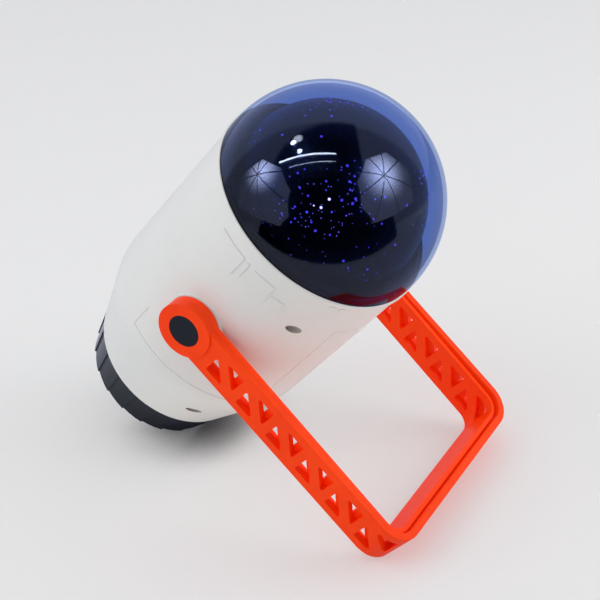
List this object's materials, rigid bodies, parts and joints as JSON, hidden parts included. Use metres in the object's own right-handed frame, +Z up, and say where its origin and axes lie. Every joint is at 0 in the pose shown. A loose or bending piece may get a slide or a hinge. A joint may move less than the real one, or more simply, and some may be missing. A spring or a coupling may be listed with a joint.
{
  "type": "planetarium projector",
  "caption": "Home planetarium projector: white tapered barrel under a clear blue dome with lit star points, charcoal twist ring at its tail and orange trussed bail handles on side pivots.",
  "frame": {"origin": "on the floor, under the middle of the resting projector's box", "axes": "+Z up, +X along the handle pivots toward the right-hand pivot, -Y the way the dome leans and the handle reaches"},
  "size_m": [0.1374, 0.2207, 0.2172],
  "materials": {
    "white_shell": "satin white",
    "blue_dome": "polished, clear blue",
    "black_deck": "satin black",
    "star_point": "lit points",
    "gear_plastic": "moulded",
    "brass": "machined",
    "steel": "plated",
    "black_tube": "matt black",
    "inner_plastic": "moulded",
    "circuit_board": "lacquered board",
    "lamp_dome": "clear lamp",
    "cell_wrap": "wrapped can",
    "charcoal": "satin charcoal",
    "foot_rubber": "soft",
    "orange_frame": "satin orange red",
    "stud_plastic": "moulded",
    "felt_ring": "pressed fibre"
  },
  "bodies": {
    "housing": {"shell_upper": "white_shell", "shell_lower": "white_shell", "rim_ring": "white_shell", "deck_ring": "black_deck", "gear_motor": "steel", "lamp_column": "black_tube", "chassis_plate": "inner_plastic", "lamp_board": "circuit_board", "lamp": "lamp_dome", "battery_tray": "inner_plastic", "battery_cells": "cell_wrap", "battery_contacts": "steel", "shell_screws": "steel", "control_board": "circuit_board", "board_switches": "black_tube", "foot_plate": "charcoal", "rubber_feet": "foot_rubber", "pivot_stud_left": "stud_plastic", "pivot_stud_right": "stud_plastic", "stud_washers": "steel", "stud_screws": "steel", "friction_washers": "felt_ring"},
    "handle": {"handle_frame": "orange_frame", "pivot_cap_left": "charcoal", "pivot_cap_right": "charcoal"},
    "prop": {"prop_frame": "orange_frame"},
    "tail_ring": {"tail_ring": "charcoal"},
    "platter": {"star_platter": "black_deck", "star_hood": "black_deck", "star_points": "star_point", "star_gear": "gear_plastic"},
    "pinion": {"motor_pinion": "brass", "motor_shaft": "steel"},
    "dome": {"star_dome": "blue_dome"},
    "door": {"battery_door": "white_shell"},
    "power_button": {"button_power": "charcoal"},
    "turn_button": {"button_turn": "charcoal"}
  },
  "joints": [
    {"name": "handle_pivot", "type": "hinge", "parent": "housing", "child": "handle", "pos_m": [0, 0.00836, 0.10937], "axis": [1, 0, 0], "continuous": true},
    {"name": "prop_pivot", "type": "hinge", "parent": "housing", "child": "prop", "pos_m": [0, 0.00836, 0.10937], "axis": [1, 0, 0], "continuous": true},
    {"name": "ring_turn", "type": "hinge", "parent": "housing", "child": "tail_ring", "pos_m": [0, 0.07099, 0.03661], "axis": [0, -0.6523, 0.758], "range_deg": [-30, 30]},
    {"name": "star_turn", "type": "hinge", "parent": "housing", "child": "platter", "pos_m": [0, -0.03208, 0.15637], "axis": [0, -0.6523, 0.758], "continuous": true},
    {"name": "pinion_spin", "type": "hinge", "parent": "housing", "child": "pinion", "pos_m": [0, -0.00556, 0.16863], "axis": [0, -0.6523, 0.758], "continuous": true},
    {"name": "dome_lift", "type": "slide", "parent": "housing", "child": "dome", "axis": [0, -0.6523, 0.758], "range_m": [0, 0.015]},
    {"name": "door_lift", "type": "slide", "parent": "housing", "child": "door", "axis": [0, -0.758, -0.6523], "range_m": [0, 0.02]},
    {"name": "power_press", "type": "slide", "parent": "housing", "child": "power_button", "axis": [-0.4695, -0.6692, -0.5759], "range_m": [0, 0.001], "stiffness_N_per_m": 500, "springref_m": -0.001},
    {"name": "turn_press", "type": "slide", "parent": "housing", "child": "turn_button", "axis": [-0.4695, -0.6692, -0.5759], "range_m": [0, 0.001], "stiffness_N_per_m": 500, "springref_m": -0.001}
  ],
  "couplings": [
    {"joint": "pinion_spin", "follows": "star_turn", "ratio": -2.5}
  ]
}
